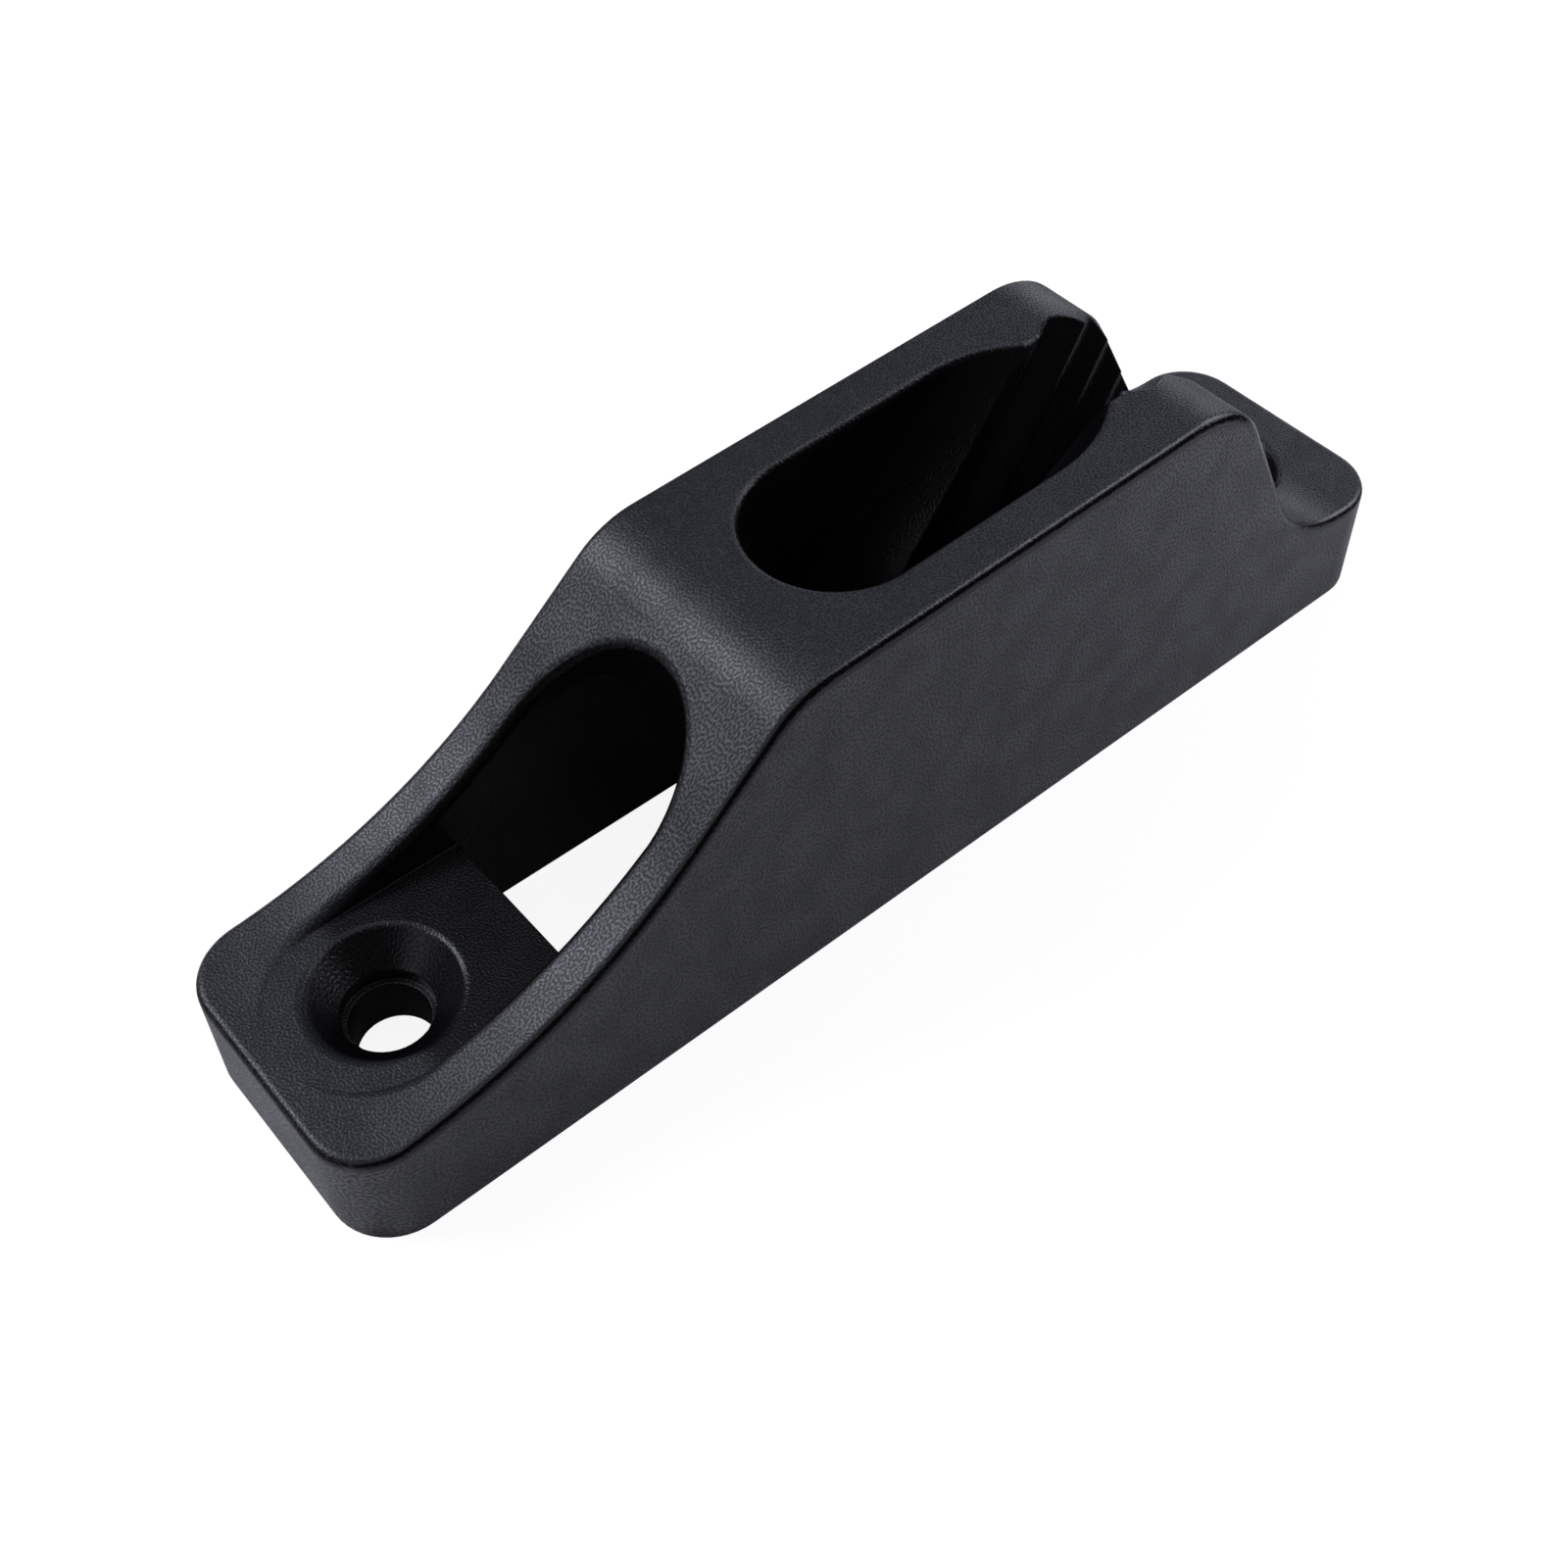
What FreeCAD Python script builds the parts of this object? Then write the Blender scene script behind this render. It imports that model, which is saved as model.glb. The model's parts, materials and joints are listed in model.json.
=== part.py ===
import FreeCAD, Part
import math
import os

V = FreeCAD.Vector
os.makedirs("parts", exist_ok=True)

# Millimetres and degrees. X runs from the front foot to the rear tongue, the base
# lies on Z = 0 and the plane Y = 0 is the plane of symmetry.

# Block
length = 86.2
base_width = 19.5
side_draft = 1.72
corner_r = 4.0
edge_r = 0.5

# Side outline: flat foot, S-shaped ramp, rising top, ear shoulder, rear tongue
foot_h = 8.0
ramp_foot_x = 14.2
ramp_angle = 41.85
ramp_toe_r = 34.4
hump_h = 23.7
hump_r = 6.5
top_rise = 2.54
shoulder_to_end = 19.0
shoulder_r = 6.8
ear_angle = 62.0
ear_toe_r = 8.8
tongue_h = 8.0

# Screw holes, both countersunk
hole_end_front = 8.3
hole_end_rear = 7.9
bore_r = 2.42
sink_r = 4.73
seat_r = 2.8
seat_depth = 2.8
sink_edge_r = 0.6
head_clear_r = 5.1

# Fairlead opening in the ramp, and the bridge behind it
lead_width = 12.24
lead_rim_r = 0.8
lead_rear_to_hump = 8.83
ledge_len = 9.2
ledge_lip = 1.1
bridge_t = 2.9
lip_bend_to_hump = 5.35
lip_bend_h = 16.7

# Slot in the top
slot_front_to_hump = 4.7
slot_width = 11.28
slot_rim_r = 0.6

# Jaws: mouth, then teeth. Both lean back from the floor up. Positions along X are
# read at the height of the top over the first tooth.
tooth_lean = 40.0
mouth_lean = 46.0
tooth_to_shoulder = 5.25
mouth_len = 5.8
first_land = 0.85
first_groove = 5.1
tooth_pitch = 3.85
groove_count = 8
crest_r = 0.2
groove_depth = 1.25
groove_root_share = 0.27
groove_root_r = 1.1
jaw_gap_top = 7.0
jaw_gap_floor = 2.0
jaw_floor_rise = 1.0
rear_ease_len = 2.25
rear_ease_width = 9.0

# Hollow underside
wall_t = 3.0
core_draft = 1.2
relief_depth = 1.8
jaw_floor_t = 3.5
rear_boss_len = 17.2

# Values that follow from the ones above
hole_x = [hole_end_front, length - hole_end_rear]
hump_x = ramp_foot_x + (hump_h - foot_h) / math.tan(math.radians(ramp_angle))
rise = math.tan(math.radians(top_rise))
shoulder_x = length - shoulder_to_end
shoulder_h = hump_h + (shoulder_x - hump_x) * rise
ear_foot_x = shoulder_x + (shoulder_h - tongue_h) / math.tan(math.radians(ear_angle))
lead_x = [hole_x[0], hump_x - lead_rear_to_hump]
ledge_x = hole_x[0] + ledge_len
slot_x = hump_x + slot_front_to_hump
tooth_x = shoulder_x - tooth_to_shoulder
lead_edge_x = tooth_x - first_land
mouth_x = lead_edge_x - mouth_len
tooth_ref_h = hump_h + (tooth_x - hump_x) * rise
jaw_floor_h = tongue_h + jaw_floor_rise
jaw_top_h = shoulder_h + 0.6
crests = [tooth_x] + [tooth_x + first_groove + n * tooth_pitch for n in range(groove_count)]
sky = shoulder_h + 4.0
far = length + 40.0


def xz(x, z):
    return V(x, 0, z)


def rounded_path(corners):
    """Edges through (point, radius) corners; a corner with a radius becomes an arc."""
    edges = []
    last = corners[0][0]
    for i in range(1, len(corners) - 1):
        p, r = corners[i]
        if r <= 0:
            edges.append(Part.makeLine(last, p))
            last = p
            continue
        a = (corners[i - 1][0] - p).normalize()
        b = (corners[i + 1][0] - p).normalize()
        half = a.getAngle(b) / 2.0
        p1 = p + a * (r / math.tan(half))
        p2 = p + b * (r / math.tan(half))
        pm = p + (a + b).normalize() * (r / math.sin(half) - r)
        if (p1 - last).Length > 1e-6:
            edges.append(Part.makeLine(last, p1))
        edges.append(Part.Arc(p1, pm, p2).toShape())
        last = p2
    edges.append(Part.makeLine(last, corners[-1][0]))
    return edges


def across(edges, half):
    """Closed X-Z edges made solid from -half to half along Y."""
    face = Part.Face(Part.Wire(edges))
    face.translate(V(0, -half, 0))
    return face.extrude(V(0, 2 * half, 0))


def polygon(pts):
    return [Part.makeLine(a, b) for a, b in zip(pts, pts[1:] + pts[:1])]


def plan_outline(inset, draft_in, z):
    """Closed rounded rectangle seen from above."""
    x0, x1 = inset, length - inset
    w = base_width / 2.0 - inset - draft_in
    r = corner_r - inset
    pts = [V(x0, -w, z), V(x1, -w, z), V(x1, w, z), V(x0, w, z)]
    ends = [(V(x0, 0, z), 0)]
    return Part.Wire(rounded_path(ends + [(p, r) for p in pts] + ends))


def side_outline(close_z, ease=0.0):
    """Side outline run out past both ends, closed above or below, its ears eased forward."""
    start, end = xz(-far, foot_h), xz(2 * far, tongue_h)
    shoulder = xz(shoulder_x - ease, shoulder_h - ease * rise)
    path = rounded_path([
        (start, 0), (xz(ramp_foot_x, foot_h), ramp_toe_r), (xz(hump_x, hump_h), hump_r),
        (shoulder, shoulder_r), (xz(ear_foot_x - ease, tongue_h), ear_toe_r), (end, 0)])
    a, b = xz(-far, close_z), xz(2 * far, close_z)
    return path + [Part.makeLine(end, b), Part.makeLine(b, a), Part.makeLine(a, start)]


def outside():
    """The drafted block under its side outline, with the outer top edges rounded."""
    drafted = sky * math.tan(math.radians(side_draft))
    block = Part.makeLoft([plan_outline(0, 0, 0), plan_outline(0, drafted, sky)], True, True)
    body = block.common(across(side_outline(-far), far))
    rim = []
    for e in body.Edges:
        m = e.valueAt((e.FirstParameter + e.LastParameter) / 2.0)
        crossing = abs(m.y) < 0.1 and 0.1 < m.x < length - 0.1
        if e.BoundBox.ZMin > 0.01 and not crossing:
            rim.append(e)
    return body.makeFillet(edge_r, rim)


def obround(x0, x1, half_w, z0, z1):
    """Upright prism with round ends centred on x0 and x1."""
    a, b, c, d = (V(x0, -half_w, z0), V(x1, -half_w, z0), V(x1, half_w, z0), V(x0, half_w, z0))
    w = Part.Wire([Part.makeLine(a, b), Part.Arc(b, V(x1 + half_w, 0, z0), c).toShape(),
                   Part.makeLine(c, d), Part.Arc(d, V(x0 - half_w, 0, z0), a).toShape()])
    return Part.Face(w).extrude(V(0, 0, z1 - z0))


def open_upwards(hole, x0, x1, half_w, rim_r):
    """A hole joined to the air over the part, its rim within the given box rounded."""
    top = across(side_outline(sky + far), far)
    cut = top.fuse(hole).removeSplitter()
    rim = []
    for e in cut.Edges:
        m = e.valueAt((e.FirstParameter + e.LastParameter) / 2.0)
        if x0 < m.x < x1 and abs(m.y) < half_w and foot_h - 0.1 < m.z < sky:
            if top.distToShape(Part.Vertex(m))[0] < 1e-4:
                rim.append(e)
    return cut.makeFillet(rim_r, rim)


def fairlead():
    """Long round-ended opening in the ramp, its floor flush with the foot up to the ledge."""
    half = lead_width / 2.0
    cut = open_upwards(obround(lead_x[0], lead_x[1], half, -far, hump_h),
                       lead_x[0] - half - 0.1, lead_x[1] + half + 0.1, half + 0.1, lead_rim_r)
    over_ledge = Part.makeBox(far + ledge_x, 2 * far, far, V(-far, -far, foot_h))
    behind = Part.makeBox(far, 2 * far, 2 * far, V(ledge_x, -far, -far))
    return cut.common(over_ledge.fuse(behind))


def leaning(u, y, z, angle=tooth_lean):
    """Point at height z on a line that leans back by angle; u is its X at tooth_ref_h."""
    return V(u + (z - tooth_ref_h) * math.tan(math.radians(angle)), y, z)


def half_gap(z):
    """Half the width between the crests of the two jaws at height z."""
    k = (z - jaw_floor_h) / (tooth_ref_h - jaw_floor_h)
    return (jaw_gap_floor + (jaw_gap_top - jaw_gap_floor) * k) / 2.0


def mouth_section(z):
    """Arcs that leave the slot walls tangentially, then flats up to the first groove."""
    w, gap = slot_width / 2.0, half_gap(z)
    r = (mouth_len ** 2 + (w - gap) ** 2) / (2.0 * (w - gap))
    half_turn = math.atan2(w - gap, mouth_len)
    mid_u, mid_y = mouth_x + r * math.sin(half_turn), w - r * (1 - math.cos(half_turn))
    edges = []
    for side in (-1, 1):
        start = leaning(mouth_x, side * w, z, mouth_lean)
        mid = leaning(mid_u, side * mid_y, z, mouth_lean)
        edge = leaning(lead_edge_x, side * gap, z, mouth_lean)
        edges.append(Part.Arc(start, mid, edge).toShape())
        edges.append(Part.makeLine(edge, leaning(tooth_x, side * gap, z)))
    edges.append(Part.makeLine(leaning(tooth_x, -gap, z), leaning(tooth_x, gap, z)))
    edges.append(Part.makeLine(leaning(mouth_x, w, z, mouth_lean), leaning(mouth_x, -w, z, mouth_lean)))
    return Part.Wire(Part.__sortEdges__(edges))


def above_floor(tool):
    return tool.common(Part.makeBox(3 * far, 2 * far, far, V(-far, -far, jaw_floor_h)))


def jaw_gap():
    """The V between the crests of the two jaws, from the first crest to behind the ears."""
    sections = []
    for z in (jaw_floor_h, jaw_top_h):
        y = half_gap(z)
        sections.append(Part.Wire(polygon([leaning(crests[0], -y, z), leaning(crests[-1], -y, z),
                                           leaning(crests[-1], y, z), leaning(crests[0], y, z)])))
    return Part.makeLoft(sections, True, True)


def grooves(side):
    """Grooves of one jaw: a section square to the crests, extruded along them."""
    y = side * half_gap(tooth_ref_h)
    low = leaning(crests[0], side * half_gap(jaw_floor_h), jaw_floor_h)
    first = leaning(crests[0], y, tooth_ref_h)
    along = (first - low).normalize()
    corners = [(leaning(crests[0], y - side * groove_depth, tooth_ref_h), 0), (first, 0)]
    for u, u_next in zip(crests, crests[1:]):
        root_u = u + (u_next - u) * groove_root_share
        corners.append((leaning(root_u, y + side * groove_depth, tooth_ref_h), groove_root_r))
        corners.append((leaning(u_next, y, tooth_ref_h), crest_r))
    corners[-1] = (corners[-1][0], 0)
    corners.append((leaning(crests[-1], y - side * groove_depth, tooth_ref_h), 0))
    square = [(p - along * (p - first).dot(along), r) for p, r in corners]
    edges = rounded_path(square) + [Part.makeLine(square[-1][0], square[0][0])]
    face = Part.Face(Part.Wire(edges))
    face.translate(along * -far)
    return above_floor(face.extrude(along * (far + sky)))


def slot():
    """Slot with its round front end, run into the mouth of the jaws, rims rounded."""
    half = slot_width / 2.0
    hole = obround(slot_x + half, length, half, jaw_floor_h, sky)
    a, b = leaning(mouth_x, 0, jaw_floor_h, mouth_lean), leaning(mouth_x, 0, sky, mouth_lean)
    front = polygon([xz(0, jaw_floor_h), xz(a.x, jaw_floor_h), xz(b.x, sky), xz(0, sky)])
    hole = hole.common(across(front, far))
    mouth = Part.makeLoft([mouth_section(jaw_floor_h), mouth_section(jaw_top_h)], True, True)
    hole = hole.fuse(mouth).removeSplitter()
    return open_upwards(hole, slot_x - 0.1, tooth_x - 0.1, half + 0.1, slot_rim_r)


def rear_ease():
    """Air that eases the rear faces of the ears forward towards the gap between them."""
    half = rear_ease_width / 2.0
    middle = Part.Wire(side_outline(sky, rear_ease_len))
    halves = []
    for y in (-half, half):
        outer = Part.Wire(side_outline(sky))
        outer.translate(V(0, y, 0))
        halves.append(Part.makeLoft([middle, outer], True, True))
    return halves[0].fuse(halves[1])


def underside():
    """Tunnel under the ramp and bridge, pocket under the jaws and the relief all round."""
    tan_draft = math.tan(math.radians(core_draft))
    core = Part.makeLoft([plan_outline(wall_t, -tan_draft, -1.0),
                          plan_outline(wall_t, tan_draft * sky, sky)], True, True)
    bridge_x = lead_x[1] + lead_width / 2.0
    bridge_h = hump_h - (hump_x - bridge_x) * math.tan(math.radians(ramp_angle)) - bridge_t
    back_x = leaning(mouth_x, 0, jaw_floor_h, mouth_lean).x
    pocket_h = jaw_floor_h - jaw_floor_t
    pocket_x = length - rear_boss_len
    side = [xz(-far, -1), xz(-far, relief_depth), xz(ledge_x, relief_depth),
            xz(ledge_x, foot_h - ledge_lip), xz(hump_x - lip_bend_to_hump, lip_bend_h),
            xz(bridge_x, bridge_h), xz(hump_x, hump_h - bridge_t),
            xz(back_x, hump_h - bridge_t + (back_x - hump_x) * rise), xz(back_x, pocket_h),
            xz(pocket_x, pocket_h), xz(pocket_x, relief_depth), xz(far * 2, relief_depth),
            xz(far * 2, -1)]
    return core.common(across(polygon(side), far))


def screw_hole(x, pad_h):
    """Through bore with a small step and a countersink, clear of the body above the pad."""
    cone_h = pad_h - (sink_r - seat_r)
    path = rounded_path([
        (xz(0, -1), 0), (xz(bore_r, -1), 0), (xz(bore_r, pad_h - seat_depth), 0),
        (xz(seat_r, pad_h - seat_depth), 0), (xz(seat_r, cone_h), 0), (xz(sink_r, pad_h), sink_edge_r),
        (xz(head_clear_r, pad_h), 0), (xz(head_clear_r, sky), 0), (xz(0, sky), 0), (xz(0, -1), 0)])
    tool = Part.Face(Part.Wire(path)).revolve(V(0, 0, 0), V(0, 0, 1), 360)
    tool.translate(V(x, 0, 0))
    return tool


def cleat_body():
    body = outside().cut(fairlead())
    body = body.cut(slot())
    for tool in (jaw_gap(), grooves(-1), grooves(1)):
        body = body.cut(tool)
    body = body.cut(rear_ease())
    body = body.cut(underside())
    for x, pad_h in zip(hole_x, (foot_h, tongue_h)):
        body = body.cut(screw_hole(x, pad_h))
    body = body.removeSplitter()
    body.translate(V(-length / 2.0, 0, 0))
    if not body.isValid() or len(body.Solids) != 1:
        raise RuntimeError("the body is not one valid solid")
    return body.Solids[0]


cleat_body().exportStep("parts/cleat_body.step")
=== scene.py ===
# %% [markdown]
# # Locking cleat
# The real cleat is one block of black nylon from an injection mould: a foot, an S-shaped ramp
# with a long opening, a bridge, a slot, and two toothed jaws in a V that grip a line. Nothing
# on it moves. Its whole form is already in the CAD part, so this script loads that part as
# the fixed frame and leaves its mesh alone. What is left for Blender is the finish of the
# nylon, the camera of the photograph and a plain soft studio.

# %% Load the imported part
import json
import math

import bmesh
import bpy
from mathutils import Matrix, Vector
from mathutils.bvhtree import BVHTree

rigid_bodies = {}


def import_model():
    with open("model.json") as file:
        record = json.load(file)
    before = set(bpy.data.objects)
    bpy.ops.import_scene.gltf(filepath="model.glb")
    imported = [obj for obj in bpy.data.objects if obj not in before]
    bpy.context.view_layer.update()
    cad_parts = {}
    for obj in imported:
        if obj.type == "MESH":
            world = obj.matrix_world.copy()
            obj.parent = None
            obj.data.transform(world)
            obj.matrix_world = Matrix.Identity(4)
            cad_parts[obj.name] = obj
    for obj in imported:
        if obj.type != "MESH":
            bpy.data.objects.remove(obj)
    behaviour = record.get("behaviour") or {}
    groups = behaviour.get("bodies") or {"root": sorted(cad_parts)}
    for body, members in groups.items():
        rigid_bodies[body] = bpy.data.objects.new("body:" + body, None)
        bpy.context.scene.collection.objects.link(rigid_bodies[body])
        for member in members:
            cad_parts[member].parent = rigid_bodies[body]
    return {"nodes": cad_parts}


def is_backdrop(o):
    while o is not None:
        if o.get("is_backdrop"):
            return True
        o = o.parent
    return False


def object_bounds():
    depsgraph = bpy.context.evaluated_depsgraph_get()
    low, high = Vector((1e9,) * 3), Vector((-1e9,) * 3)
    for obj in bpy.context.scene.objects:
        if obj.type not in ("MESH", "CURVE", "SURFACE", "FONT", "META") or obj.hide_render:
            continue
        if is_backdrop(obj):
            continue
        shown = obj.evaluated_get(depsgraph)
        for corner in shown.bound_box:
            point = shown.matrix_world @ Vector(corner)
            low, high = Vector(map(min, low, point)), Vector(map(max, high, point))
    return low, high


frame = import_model()
body = frame["nodes"]["cleat_body"]
cad_low, cad_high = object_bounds()
length, width, height = cad_high - cad_low
middle = (cad_low + cad_high) / 2
MM = 0.001
print("body:", len(body.data.vertices), "vertices,", len(body.data.polygons), "triangles")
print("length, width and height in mm:", [round(v / MM, 2) for v in (length, width, height)])

# %% [markdown]
# ## Camera
# The photograph looks down at about 50 degrees on the front left of the cleat, from so near
# that the foot looks much larger than the rear tongue. A camera can be placed by eye, or from
# a fit: points of the photograph are set against the same points of the part until one place
# and one lens suit them all. The fit is used here, because only it gets this strong
# perspective right. The camera has no roll and no shift, and depth of field stays off.

# %% Camera
CAMERA_PLACE = Vector((-0.05655, -0.06078, 0.09884))
CAMERA_AIM = Vector((0.4142, 0.4882, -0.7682))
SENSOR_MM, LENS_MM = 36.0, 44.0
NEAR_LIMIT, FAR_LIMIT = 2 * MM, 20.0

camera_data = bpy.data.cameras.new("camera")
camera_data.sensor_width = SENSOR_MM
camera_data.lens = LENS_MM
camera_data.clip_start = NEAR_LIMIT
camera_data.clip_end = FAR_LIMIT
camera = bpy.data.objects.new("camera", camera_data)
camera.location = CAMERA_PLACE
camera.rotation_mode = "QUATERNION"
camera.rotation_quaternion = CAMERA_AIM.to_track_quat("-Z", "Y")
bpy.context.scene.collection.objects.link(camera)
bpy.context.scene.camera = camera
print("camera to the middle of the part in mm:", round((middle - CAMERA_PLACE).length / MM, 1))

# %% [markdown]
# ## Helpers for shader nodes
# A shader node group is a small machine with named inputs and outputs. It is built once and
# can then be placed in any material with its own values. The nodes could be wired one by one,
# but the same few steps would fill pages. These helpers make a group and add the nodes that
# come up again and again, so that the next cells read like a recipe.

# %% Helpers for groups and sums
def new_group(name, inputs, outputs):
    """An empty group: inputs are (name, value), outputs are names, all plain numbers."""
    group = bpy.data.node_groups.new(name, "ShaderNodeTree")
    for label, value in inputs:
        made = group.interface.new_socket(name=label, in_out="INPUT", socket_type="NodeSocketFloat")
        made.default_value = value
    for label in outputs:
        group.interface.new_socket(name=label, in_out="OUTPUT", socket_type="NodeSocketFloat")
    return group, group.nodes.new("NodeGroupInput"), group.nodes.new("NodeGroupOutput")


def calc(tree, operation, first, second=0.0, clamp=False):
    """A Math node; each operand is a number or another node's output."""
    node = tree.nodes.new("ShaderNodeMath")
    node.operation = operation
    node.use_clamp = clamp
    for socket, operand in zip(node.inputs, (first, second)):
        if isinstance(operand, (int, float)):
            socket.default_value = operand
        else:
            tree.links.new(operand, socket)
    return node.outputs[0]


def times(tree, first, *others):
    """Several values multiplied with each other."""
    for other in others:
        first = calc(tree, "MULTIPLY", first, other)
    return first


def fade(tree, value, start, end, low=0.0, high=1.0):
    """Goes softly from low to high while the value goes from start to end."""
    node = tree.nodes.new("ShaderNodeMapRange")
    node.interpolation_type = "SMOOTHSTEP"
    tree.links.new(value, node.inputs["Value"])
    node.inputs["From Min"].default_value = start
    node.inputs["From Max"].default_value = end
    node.inputs["To Min"].default_value = low
    node.inputs["To Max"].default_value = high
    return node.outputs["Result"]


print("helpers ready: new_group, calc, times, fade")

# %% [markdown]
# ## Helpers for place and slant
# What happened to a spot on the real part depends on where it lies and how steep it is there:
# steel cores touched some places, and steep walls slid along the mould. Separate materials
# could be given to such places, but then every border would be hard. So the nodes ask for the
# place and the slant of each point. Both come from the part itself and not from the camera,
# so the finish stays put when the part turns.

# %% Helpers for place and slant
def split(tree, vector):
    """The X, Y and Z of a vector, as three outputs."""
    node = tree.nodes.new("ShaderNodeSeparateXYZ")
    tree.links.new(vector, node.inputs["Vector"])
    return [node.outputs[axis] for axis in "XYZ"]


def slant(tree, normal):
    """How far a surface is turned to the ends and to the sides of the part: 0 flat, 1 upright."""
    to_x, to_y, _ = split(tree, normal)
    return calc(tree, "ABSOLUTE", to_x), calc(tree, "ABSOLUTE", to_y)


print("helpers ready: split, slant")

# %% [markdown]
# ## Grain of the mould
# The outer skin has the fine leather grain that is etched into the mould's steel: short
# curved ridges about a quarter of a millimetre apart. They could be modelled, but that would
# take millions of faces for something 0.03 mm high, so they are a pattern. Plain noise looks
# like sand and cell patterns look like tiles. Gabor noise is made of small packets of waves
# of one length, turned every way, so its ridges are winding, short and all of one width, as
# etched ones are. Its quick 2D form needs two coordinates. They are x and y on top. On a wall,
# which is any surface steeper than 45 degrees, the height takes the place of one of them. The
# output goes from 0 in a valley to 1 on a ridge.

# %% Grain group
GRAIN_SPACING = 0.25 * MM
WAVES_PER_PACKET = 1.4
VALLEY, RIDGE = 0.34, 0.66
UPRIGHT = math.sqrt(0.5)

grain, grain_in, grain_out = new_group(
    "moulded_grain", [("Ridge Spacing", GRAIN_SPACING)], ["Height"])
grain_place = grain.nodes.new("ShaderNodeTexCoord")
grain_x, grain_y, grain_z = split(grain, grain_place.outputs["Object"])
flat_place = grain.nodes.new("ShaderNodeCombineXYZ")
for flat, turn, socket in zip(
        (grain_x, grain_y), slant(grain, grain_place.outputs["Normal"]), flat_place.inputs):
    is_wall = calc(grain, "GREATER_THAN", turn, UPRIGHT)
    to_height = times(grain, calc(grain, "SUBTRACT", grain_z, flat), is_wall)
    grain.links.new(calc(grain, "ADD", flat, to_height), socket)

ridges = grain.nodes.new("ShaderNodeTexGabor")
ridges.gabor_type = "2D"
ridges.inputs["Frequency"].default_value = WAVES_PER_PACKET
ridges.inputs["Anisotropy"].default_value = 0.0
grain.links.new(flat_place.outputs["Vector"], ridges.inputs["Vector"])
packets_per_metre = calc(grain, "DIVIDE", 1 / WAVES_PER_PACKET, grain_in.outputs["Ridge Spacing"])
grain.links.new(packets_per_metre, ridges.inputs["Scale"])
grain.links.new(fade(grain, ridges.outputs["Value"], VALLEY, RIDGE), grain_out.inputs["Height"])
print("group", grain.name, "has", len(grain.nodes), "nodes")

# %% [markdown]
# ## Outline of the skin
# The slot, the tunnel, the countersinks and the jaws were shaped by polished steel cores, not
# by the grained cavity, so they are smooth; lying deep in the part, they are also given painted
# shade that makes them almost black. To find them, the material needs to know how high the
# outer skin runs at each place along the part. That could be typed in, but then it would be
# wrong as soon as the part changes, so it is measured: rays are shot straight down on the left
# rail, and the height of each first hit is kept as a share of the part's height.

# %% Measure the outline
STEPS = 60
RAIL_SHARE = 0.4

surface = BVHTree.FromPolygons(
    [v.co.copy() for v in body.data.vertices], [tuple(p.vertices) for p in body.data.polygons])
down = Vector((0.0, 0.0, -1.0))
outline = []
for step in range(STEPS + 1):
    along = step / STEPS
    above = Vector((cad_low.x + along * length, middle.y + RAIL_SHARE * width, cad_high.z + height))
    hit = surface.ray_cast(above, down)[0]
    if hit is not None:
        outline.append((along, hit.z / cad_high.z))
heights = [round(high * cad_high.z / MM, 1) for _, high in outline]
print("outline hits:", len(outline), "from", min(heights), "to", max(heights), "mm high")

# %% [markdown]
# ## Depth below the skin
# Each place on the part lies at some depth below the outer skin: nothing on the skin itself,
# and 16 mm on the floor of the jaws. The depth could be painted on the mesh, but the CAD mesh
# stays as it is. So the measured outline goes into a Float Curve node, which gives the height
# of the skin for each place along the part, and the place's own height is taken off.

# %% Depth below the skin
polish_and_shade, _, polish_out = new_group("core_polish_and_shade", [], ["Inside", "Rim", "Under Rim"])
polish_place = polish_and_shade.nodes.new("ShaderNodeTexCoord")
at_x, at_y, at_z = split(polish_and_shade, polish_place.outputs["Object"])
from_front = calc(polish_and_shade, "SUBTRACT", at_x, cad_low.x)
from_rear = calc(polish_and_shade, "SUBTRACT", cad_high.x, at_x)
off_middle = calc(polish_and_shade, "ABSOLUTE", calc(polish_and_shade, "SUBTRACT", at_y, middle.y))

skin = polish_and_shade.nodes.new("ShaderNodeFloatCurve")
curve = skin.mapping.curves[0]
curve.points[0].location = (0.0, outline[0][1])
curve.points[1].location = (1.0, outline[-1][1])
for along, high in outline[1:-1]:
    curve.points.new(along, high)
for point in curve.points:
    point.handle_type = "VECTOR"
skin.mapping.update()
polish_and_shade.links.new(calc(polish_and_shade, "DIVIDE", from_front, length, clamp=True), skin.inputs["Value"])
depth = calc(polish_and_shade, "SUBTRACT", times(polish_and_shade, skin.outputs["Value"], cad_high.z), at_z)
print("the curve of the skin has", len(curve.points), "points")

# %% [markdown]
# ## Where the polished cores were
# On the real part the core surfaces are the slot, the tunnel, the jaws and the countersinks.
# They could be picked face by face, but such a list breaks when the part changes, so they are
# told by their place. A point lies on a polished surface when it is clearly below the skin,
# between the two side walls and away from both ends. Each of these conditions fades over a
# short way, because on the real part the grain runs out softly at a rim too. On the foot the
# rim of the countersink is wide and round, so there the smooth part starts deeper.

# %% Inside: the surfaces of the cores
CORE_DEPTH = (0.06 * MM, 0.2 * MM)
FOOT_CORE_DEPTH = (0.5 * MM, 0.9 * MM)
FOOT_END = (7.5 * MM, 12.0 * MM)
SIDE_WALL = (0.345 * width, 0.375 * width)
END_WALL = (1.8 * MM, 2.4 * MM)

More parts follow.
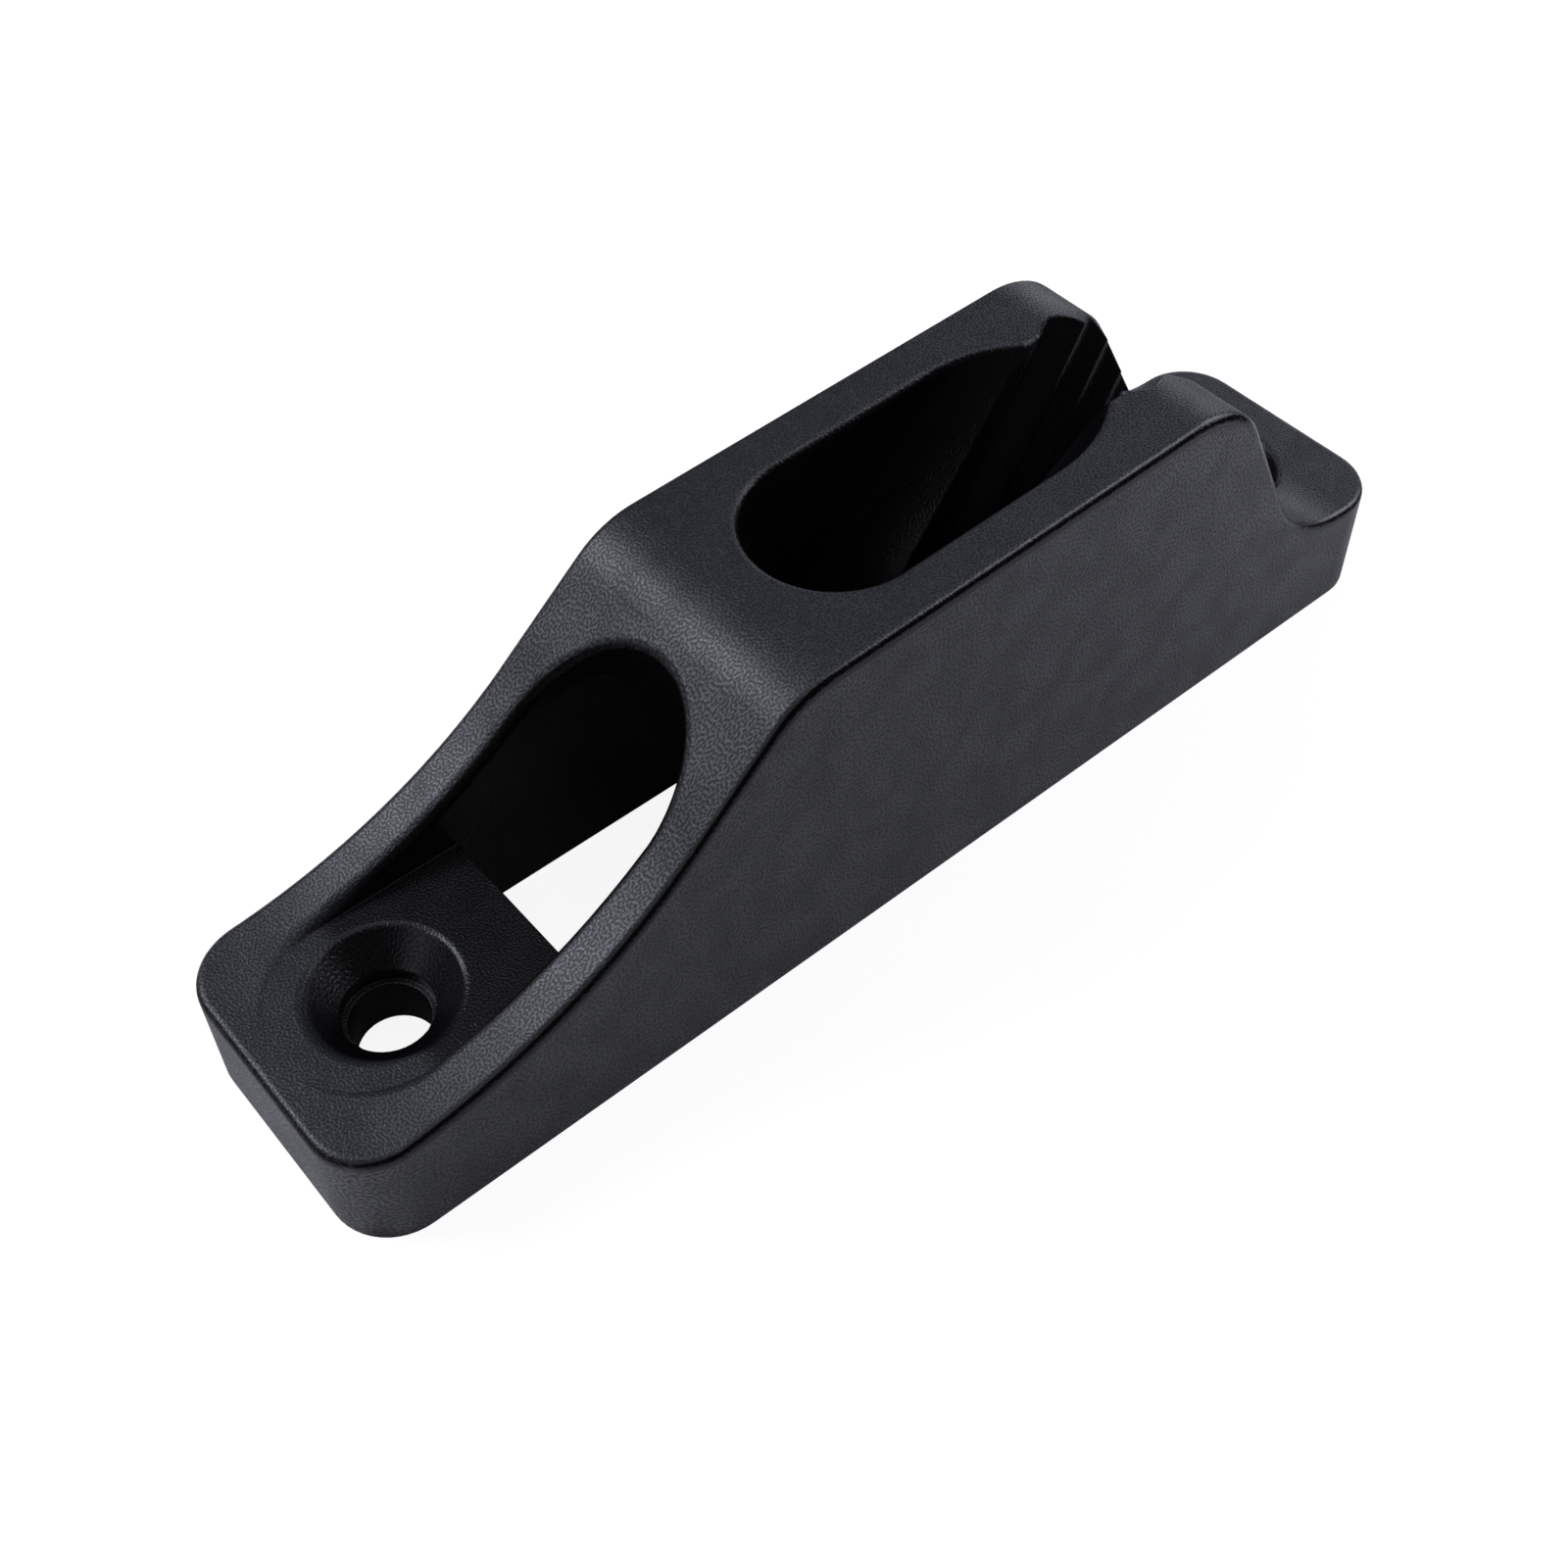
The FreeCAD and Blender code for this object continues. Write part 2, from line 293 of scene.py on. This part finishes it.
below = fade(polish_and_shade, depth, *CORE_DEPTH)
well_below = fade(polish_and_shade, depth, *FOOT_CORE_DEPTH)
behind_foot = fade(polish_and_shade, from_front, *FOOT_END)
between_walls = fade(polish_and_shade, off_middle, *SIDE_WALL, low=1.0, high=0.0)
off_ends = times(polish_and_shade, fade(polish_and_shade, from_front, *END_WALL), fade(polish_and_shade, from_rear, *END_WALL))
deep_enough = times(polish_and_shade, below, calc(polish_and_shade, "MAXIMUM", well_below, behind_foot))
# Inside marks the polished cores; the colour also uses it to paint shade into these recesses.
inside = times(polish_and_shade, deep_enough, between_walls, off_ends)
polish_and_shade.links.new(inside, polish_out.inputs["Inside"])
print("group", polish_and_shade.name, "has", len(polish_and_shade.nodes), "nodes so far")

# %% [markdown]
# ## Rim of the top
# On the real part the etching stops short of the rounded edge between the top and the side
# walls, where the mould closes. So that edge is smooth and draws a bright line. The dark line
# under it is painted reflection: its colour is darkened and its coat taken off. It could be a
# strip of its own mesh, but it is less than a millimetre wide and belongs to the same moulding,
# so it is told by its depth, its place and its slant. Rim marks the whole edge, and Under Rim
# its steep lower half, together with the same half of the front edge, where the dark line is
# painted.

# %% Rim and its lower half
RIM_DEPTH = (0.65 * MM, 0.95 * MM)
OUTERMOST = (0.385 * width, 0.41 * width)
FRONT_EDGE = (0.8 * MM, 1.2 * MM)
RIM_SLANT = (0.2, 0.45)
LOWER_SIDE_SLANT = (0.5, 0.65)
LOWER_FRONT_SLANT = (0.45, 0.7)

to_end, to_side = slant(polish_and_shade, polish_place.outputs["Normal"])
near_top = fade(polish_and_shade, depth, *RIM_DEPTH, low=1.0, high=0.0)
outermost = fade(polish_and_shade, off_middle, *OUTERMOST)
at_front = fade(polish_and_shade, from_front, *FRONT_EDGE, low=1.0, high=0.0)
rim = times(polish_and_shade, fade(polish_and_shade, to_side, *RIM_SLANT), outermost, near_top)
lower_side = times(polish_and_shade, fade(polish_and_shade, to_side, *LOWER_SIDE_SLANT), outermost)
lower_front = times(polish_and_shade, fade(polish_and_shade, to_end, *LOWER_FRONT_SLANT), at_front)
# Painted reflection: Under Rim marks where the colour is darkened and the coat taken off for the
# dark line.
painted_dark_line = times(polish_and_shade, calc(polish_and_shade, "MAXIMUM", lower_side, lower_front), near_top)
polish_and_shade.links.new(rim, polish_out.inputs["Rim"])
polish_and_shade.links.new(painted_dark_line, polish_out.inputs["Under Rim"])
print("group", polish_and_shade.name, "has", len(polish_and_shade.nodes), "nodes")

# %% [markdown]
# ## Colour of the nylon
# The skin is black nylon with a little blue in it, and it is the same plastic everywhere. Two
# materials could stand for the grained and the polished surfaces, but then a hard line would
# run where they meet. So one Principled BSDF does both, and the core group mixes its colour:
# the colour is painted darker on the cores, as painted shade deep in the recesses, and on the
# lower half of the rim, as a painted dark reflection line.

# %% Colour of the nylon
SKIN_COLOUR = (0.014, 0.015, 0.018, 1.0)
RECESS_SHADE_COLOUR = (0.0015, 0.0016, 0.002, 1.0)
NYLON_IOR, SPECULAR_LEVEL = 1.5, 0.25

nylon = bpy.data.materials.new("black_nylon")
nylon.use_nodes = True
nylon_tree = nylon.node_tree
shader = nylon_tree.nodes["Principled BSDF"]
shader.inputs["IOR"].default_value = NYLON_IOR
shader.inputs["Specular IOR Level"].default_value = SPECULAR_LEVEL
polish_and_shade_node = nylon_tree.nodes.new("ShaderNodeGroup")
polish_and_shade_node.node_tree = polish_and_shade
core_and_shade_here, rim_here, painted_dark_line_here = polish_and_shade_node.outputs

colour = nylon_tree.nodes.new("ShaderNodeMix")
colour.data_type = "RGBA"
skin_socket, recess_shade_socket = (socket for socket in colour.inputs if socket.type == "RGBA")
skin_socket.default_value = SKIN_COLOUR
recess_shade_socket.default_value = RECESS_SHADE_COLOUR
# Painted shade: the colour is darker on the cores and on the lower half of the rim.
painted_shade_place = calc(nylon_tree, "MAXIMUM", core_and_shade_here, painted_dark_line_here)
nylon_tree.links.new(painted_shade_place, colour.inputs["Factor"])
mixed = next(socket for socket in colour.outputs if socket.type == "RGBA")
nylon_tree.links.new(mixed, shader.inputs["Base Color"])
print("colour of", nylon.name, "mixed from", SKIN_COLOUR[:3], "and", RECESS_SHADE_COLOUR[:3])

# %% [markdown]
# ## Roughness
# Black plastic gets nearly all its tone from what it reflects, so roughness matters more than
# colour: the grained skin spreads a softbox into a broad sheen, and the polished surfaces
# mirror the dark around them. One value for all would lose that difference. So the roughness
# follows the core group, with a lower value again on the smooth rim.

# %% Roughness
SKIN_ROUGHNESS, CORE_ROUGHNESS, RIM_ROUGHNESS = 0.42, 0.28, 0.2


def blend(tree, share, low, high):
    """Goes softly from low to high while the share goes from 0 to 1."""
    return fade(tree, share, 0.0, 1.0, low, high)


base_roughness = blend(nylon_tree, core_and_shade_here, SKIN_ROUGHNESS, CORE_ROUGHNESS)
rim_change = blend(nylon_tree, rim_here, 0.0, RIM_ROUGHNESS - SKIN_ROUGHNESS)
roughness = calc(nylon_tree, "ADD", base_roughness, rim_change)
nylon_tree.links.new(roughness, shader.inputs["Roughness"])
print("roughness of skin, cores and rim:", SKIN_ROUGHNESS, CORE_ROUGHNESS, RIM_ROUGHNESS)

# %% [markdown]
# ## Spacing of the ridges
# On the real part the ridges look wider apart on the walls than on the top. A second grain
# group could be made for the walls, but the group has an input for just this. So one group
# gets a spacing that changes where the surface is steeper than 45 degrees, the same limit as
# in the group itself.

# %% Spacing of the ridges
WALL_SPACING = 0.34 * MM

nylon_place = nylon_tree.nodes.new("ShaderNodeTexCoord")
turned_to_end, turned_to_side = slant(nylon_tree, nylon_place.outputs["Normal"])
steepest = calc(nylon_tree, "MAXIMUM", turned_to_side, turned_to_end)
on_wall = calc(nylon_tree, "GREATER_THAN", steepest, UPRIGHT)
wider = times(nylon_tree, on_wall, WALL_SPACING - GRAIN_SPACING)
grained = nylon_tree.nodes.new("ShaderNodeGroup")
grained.node_tree = grain
nylon_tree.links.new(calc(nylon_tree, "ADD", wider, GRAIN_SPACING), grained.inputs["Ridge Spacing"])
ridge_height = grained.outputs["Height"]
print("mm between ridges, top and walls:", [round(v / MM, 2) for v in (GRAIN_SPACING, WALL_SPACING)])

# %% [markdown]
# ## Relief and worn edges
# The real ridges stand only 0.03 mm high. Real displacement would need the millions of faces
# again, so a Bump node tilts the light instead. The side walls slide along the steel when the
# part leaves the mould, so their relief is a little lower, and only a third of it is left on
# the polished surfaces and the rim. The part's few sharp edges are also a little worn: a Bevel
# node rounds them by a fifth of a millimetre for the light alone, so that each of them catches
# a thin line.

# %% Relief and worn edges
GRAIN_HEIGHT = 0.033 * MM
SIDE_RELIEF, SMOOTH_RELIEF = 0.9, 0.35
SIDE_RELIEF_SLANT = (0.7, 0.9)
EDGE_ROUNDING, EDGE_SAMPLES = 0.18 * MM, 6

on_side = fade(nylon_tree, turned_to_side, *SIDE_RELIEF_SLANT, low=1.0, high=SIDE_RELIEF)
smooth_place = calc(nylon_tree, "ADD", core_and_shade_here, rim_here)
on_smooth = blend(nylon_tree, smooth_place, 1.0, SMOOTH_RELIEF)
soft_edge = nylon_tree.nodes.new("ShaderNodeBevel")
soft_edge.samples = EDGE_SAMPLES
soft_edge.inputs["Radius"].default_value = EDGE_ROUNDING
bump = nylon_tree.nodes.new("ShaderNodeBump")
bump.inputs["Strength"].default_value = 1.0
bump.inputs["Distance"].default_value = GRAIN_HEIGHT
nylon_tree.links.new(times(nylon_tree, ridge_height, on_side, on_smooth), bump.inputs["Height"])
nylon_tree.links.new(soft_edge.outputs["Normal"], bump.inputs["Normal"])
nylon_tree.links.new(bump.outputs["Normal"], shader.inputs["Normal"])
print("ridge height in mm:", round(GRAIN_HEIGHT / MM, 3), "and edge:", round(EDGE_ROUNDING / MM, 2))

# %% [markdown]
# ## Rubbed ridges
# A bump alone leaves the grain dark on dark where no lamp is mirrored. On the real part the
# ridges are rubbed and catch light from everywhere. A lighter colour on them would look like
# dust, so they get a rough coat layer, and the valleys get less of it. The coat varies in
# clouds a few millimetres wide, as handled plastic does, and it is strong on the smooth rim.

# %% Coat on ridges and rim
COAT_ROUGHNESS = 0.44
MEAN_COAT, RIM_COAT = 0.55, 0.8
TOP_CONTRAST, SIDE_CONTRAST = 0.95, 0.7
SIDE_CONTRAST_SLANT = (0.7, 0.95)
CLOUD_SIZE, CLOUD_DETAIL, CLOUD_DISTORTION = 3 * MM, 3.5, 0.5
CLOUD_RANGE = (0.3, 0.7)
THIN_COAT, THICK_COAT = 0.7, 1.24

contrast = fade(
    nylon_tree, turned_to_side, *SIDE_CONTRAST_SLANT, low=TOP_CONTRAST, high=SIDE_CONTRAST)
half_high = calc(nylon_tree, "SUBTRACT", ridge_height, 0.5)
crowns = calc(nylon_tree, "ADD", times(nylon_tree, half_high, contrast), MEAN_COAT)

cloud = nylon_tree.nodes.new("ShaderNodeTexNoise")
cloud.inputs["Scale"].default_value = 1 / CLOUD_SIZE
cloud.inputs["Detail"].default_value = CLOUD_DETAIL
cloud.inputs["Distortion"].default_value = CLOUD_DISTORTION
nylon_tree.links.new(nylon_place.outputs["Object"], cloud.inputs["Vector"])
patchy = fade(nylon_tree, cloud.outputs["Fac"], *CLOUD_RANGE, low=THIN_COAT, high=THICK_COAT)
coat_on_rim = times(nylon_tree, rim_here, RIM_COAT)
coat = calc(nylon_tree, "MAXIMUM", times(nylon_tree, crowns, patchy), coat_on_rim)
shader.inputs["Coat Roughness"].default_value = COAT_ROUGHNESS
print("mean coat:", MEAN_COAT, "on the skin,", RIM_COAT, "on the rim")

# %% [markdown]
# ## Where the coat ends
# The polished surfaces were never rubbed, so the coat is taken off them. The lower half of the
# rim loses its coat too, as part of the painted dark reflection line there. They could be left out
# by a hard mask, but in the photograph the countersink in the foot is still grey, while the
# tunnel, the slot and the jaws behind it are almost black. So the core group takes the coat
# away, less of it in front and nearly all of it behind, as painted shade deep in the part. Then
# the material goes onto the body.

# %% Coat taken off the cores
LOSS_IN_FRONT, LOSS_BEHIND = 0.7, 0.93
LOSS_PLACE = (-22 * MM, -14 * MM)

nylon_x = split(nylon_tree, nylon_place.outputs["Object"])[0]
# Partly painted shade: more coat is taken off behind, where the tunnel, the slot and the jaws lie
# deep in the part.
coat_loss_and_painted_shade = fade(nylon_tree, nylon_x, *LOSS_PLACE, low=LOSS_IN_FRONT, high=LOSS_BEHIND)
coat_on_cores = calc(nylon_tree, "SUBTRACT", 1.0, times(nylon_tree, core_and_shade_here, coat_loss_and_painted_shade))
# Painted dark reflection line: no coat on the lower half of the rim.
coat_cut_for_painted_dark_line = blend(nylon_tree, painted_dark_line_here, 1.0, 0.0)
coat_left = times(nylon_tree, coat_on_cores, coat_cut_for_painted_dark_line)
coat_weight = calc(nylon_tree, "MULTIPLY", coat, coat_left, clamp=True)
nylon_tree.links.new(coat_weight, shader.inputs["Coat Weight"])
body.data.materials[0] = nylon
print("material", nylon.name, "has", len(nylon_tree.nodes), "nodes")

# %% [markdown]
# ## Floor
# The part stands on plain white paper. A curved sheet could rise behind it, as in a real
# studio, but no horizon comes into the photograph, so one flat sheet is enough. It lies a hair
# below the base, so that the two flat faces don't share one place.

# %% Floor
SHEET_HALF_SIDE = 3.0
HAIR = 0.02 * MM

floor_mesh = bpy.data.meshes.new("floor")
sheet = bmesh.new()
bmesh.ops.create_grid(sheet, x_segments=1, y_segments=1, size=SHEET_HALF_SIDE)
sheet.to_mesh(floor_mesh)
sheet.free()
floor = bpy.data.objects.new("floor", floor_mesh)
floor.location.z = -HAIR
bpy.context.scene.collection.objects.link(floor)
floor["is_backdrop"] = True
print("floor side in m:", round(2 * SHEET_HALF_SIDE, 1))

# %% [markdown]
# ## Paper in the light
# For the light, the sheet is matt paper with light and shade painted into its colour. If it were
# white all over, the side walls would mirror it and turn grey, but in the photograph they mirror
# nothing, because the real studio was dark farther out. So a pool of light is painted on the
# paper: white near the part and dark far away, with painted shade a little darker right under it.

# %% Paper in the light
PAPER_IN_PAINTED_LIGHT, PAPER_OUT_OF_PAINTED_LIGHT, PAINTED_SHADE_UNDER_PART = 0.8, 0.03, 0.5
PAINTED_LIGHT_RADIUS = (0.055, 0.11)
BASE_SIDE = (0.46 * width, 0.5 * width)
BASE_END = (0.49 * length, 0.5 * length)


def make_matt(node):
    """Takes all shine from a Principled node."""
    node.inputs["Roughness"].default_value = 1.0
    node.inputs["Specular IOR Level"].default_value = 0.0


paper = bpy.data.materials.new("paper_with_painted_light")
paper.use_nodes = True
paper_tree = paper.node_tree
paper_place = paper_tree.nodes.new("ShaderNodeTexCoord")
paper_x, paper_y, _ = split(paper_tree, paper_place.outputs["Object"])
span = paper_tree.nodes.new("ShaderNodeVectorMath")
span.operation = "LENGTH"
paper_tree.links.new(paper_place.outputs["Object"], span.inputs[0])
from_middle = span.outputs["Value"]

painted_light_pool = fade(paper_tree, from_middle, *PAINTED_LIGHT_RADIUS, low=PAPER_IN_PAINTED_LIGHT, high=PAPER_OUT_OF_PAINTED_LIGHT)
beside = fade(paper_tree, calc(paper_tree, "ABSOLUTE", paper_y), *BASE_SIDE)
beyond = fade(paper_tree, calc(paper_tree, "ABSOLUTE", paper_x), *BASE_END)
painted_shade_under_part = blend(paper_tree, calc(paper_tree, "MAXIMUM", beside, beyond), PAINTED_SHADE_UNDER_PART, 1.0)
matt = paper_tree.nodes["Principled BSDF"]
make_matt(matt)
# Painted light and shade: the light pool and the shade under the part are multiplied into the
# paper's colour.
paper_tree.links.new(times(paper_tree, painted_light_pool, painted_shade_under_part), matt.inputs["Base Color"])
floor_mesh.materials.append(paper)
print("the paper is white up to", round(PAINTED_LIGHT_RADIUS[0] / MM), "mm from the middle")

# %% [markdown]
# ## Paper in the picture
# In the photograph the paper is so bright that it has no shade at all. Paper that glows would
# do that, but it would also light the part from below. So the paper glows only for the camera,
# which the Light Path node can tell. Its glow grows towards full white with the distance, so
# that no horizon shows in any view.

# %% Paper in the picture
SEEN_PAPER = (0.2, 0.2, 0.2, 1.0)
GLOW_RADIUS = (0.1, 0.8)
NEAR_GLOW, FULL_GLOW = 0.9, 1.0

seen = paper_tree.nodes.new("ShaderNodeBsdfPrincipled")
make_matt(seen)
seen.inputs["Base Color"].default_value = SEEN_PAPER
seen.inputs["Emission Strength"].default_value = 1.0
glow = fade(paper_tree, from_middle, *GLOW_RADIUS, low=NEAR_GLOW, high=FULL_GLOW)
paper_tree.links.new(glow, seen.inputs["Emission Color"])
ray = paper_tree.nodes.new("ShaderNodeLightPath")
choose = paper_tree.nodes.new("ShaderNodeMixShader")
result = next(node for node in paper_tree.nodes if node.type == "OUTPUT_MATERIAL")
paper_tree.links.new(ray.outputs["Is Camera Ray"], choose.inputs["Fac"])
paper_tree.links.new(matt.outputs["BSDF"], choose.inputs[1])
paper_tree.links.new(seen.outputs["BSDF"], choose.inputs[2])
paper_tree.links.new(choose.outputs["Shader"], result.inputs["Surface"])
print("material", paper.name, "has", len(paper_tree.nodes), "nodes")

# %% [markdown]
# ## Light
# The tones in the photograph tell where its lights were: the sheen lies on the ramp and the
# bridge, which mirror one softbox behind the left side, and the long side wall gets lighter
# towards the rear. A picture of a whole studio could light the part, but lamps can be moved
# one by one until each tone fits. So there is one key softbox there, a wide dim one overhead, a
# small one that draws the bright line along the near rim, a smaller one low at the right rear,
# and two weak ones that open the shade in front and behind. They are slightly blue, as the
# sheen is.

# %% Softboxes
STUDIO_TINT = (0.955, 0.975, 1.105)
# Direction and height in degrees, distance and both sides in metres, power in watts
SOFTBOXES = {
    "key": (133, 43, 0.5, 0.2, 0.2, 1.3),
    "overhead": (90, 88, 0.5, 0.3, 0.5, 0.38),
    "rim_line": (318, 47, 0.4, 0.12, 0.12, 0.2),
    "right_rear": (338, 28, 0.15, 0.08, 0.08, 0.068),
    "front": (180, 30, 0.4, 0.2, 0.2, 0.1),
    "rear_low": (30, 8, 0.4, 0.2, 0.2, 0.17),
}


def softbox(name, direction, elevation, distance, side, other_side, watts):
    """A rectangular lamp that looks at the part; direction 0 is behind the rear tongue."""
    data = bpy.data.lights.new(name, "AREA")
    data.shape = "RECTANGLE"
    data.size = side
    data.size_y = other_side
    data.energy = watts
    data.color = STUDIO_TINT
    turn, lift = math.radians(direction), math.radians(elevation)
    flat = math.cos(lift)
    away = Vector((flat * math.cos(turn), flat * math.sin(turn), math.sin(lift)))
    lamp = bpy.data.objects.new(name, data)
    lamp.location = middle + away * distance
    lamp.rotation_mode = "QUATERNION"
    lamp.rotation_quaternion = (-away).to_track_quat("-Z", "Y")
    bpy.context.scene.collection.objects.link(lamp)
    return lamp


for name, settings in SOFTBOXES.items():
    lamp = softbox(name, *settings)
    print(name, "at", [round(v, 3) for v in lamp.location], "m,", round(lamp.data.energy, 3), "W")

# %% [markdown]
# ## World and display
# Beyond the paper the photograph is pure white, but the real studio was dark. One world
# strength can't be both, so the Light Path node tells them apart: the world is white for the
# camera only and nearly dark for every other ray. The plain display transform is set, because
# the softer default one turns the white paper grey.

# %% World and display
DARK_STUDIO, WHITE_BACKGROUND = 0.05, 1.0
WHITE = (1.0, 1.0, 1.0, 1.0)

world = bpy.data.worlds.new("studio")
world.use_nodes = True
world_tree = world.node_tree
sky = world_tree.nodes["Background"]
sky.inputs["Color"].default_value = WHITE
world_ray = world_tree.nodes.new("ShaderNodeLightPath")
strength = blend(world_tree, world_ray.outputs["Is Camera Ray"], DARK_STUDIO, WHITE_BACKGROUND)
world_tree.links.new(strength, sky.inputs["Strength"])
bpy.context.scene.world = world
bpy.context.scene.view_settings.view_transform = "Standard"
print("world:", WHITE_BACKGROUND, "for the camera,", DARK_STUDIO, "for every other ray")

# %% [markdown]
# ## Sizes and finish
# Blender must not change the real part's size. It could be checked by eye, but a hair's
# breadth wouldn't show. So both boxes are printed at the end: the one right after loading
# and the one of everything that is visible now.

# %% Sizes and finish
low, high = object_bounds()
print("CAD box in mm:", [round((b - a) / MM, 2) for a, b in zip(cad_low, cad_high)])
print("visual box in mm:", [round((b - a) / MM, 2) for a, b in zip(low, high)])
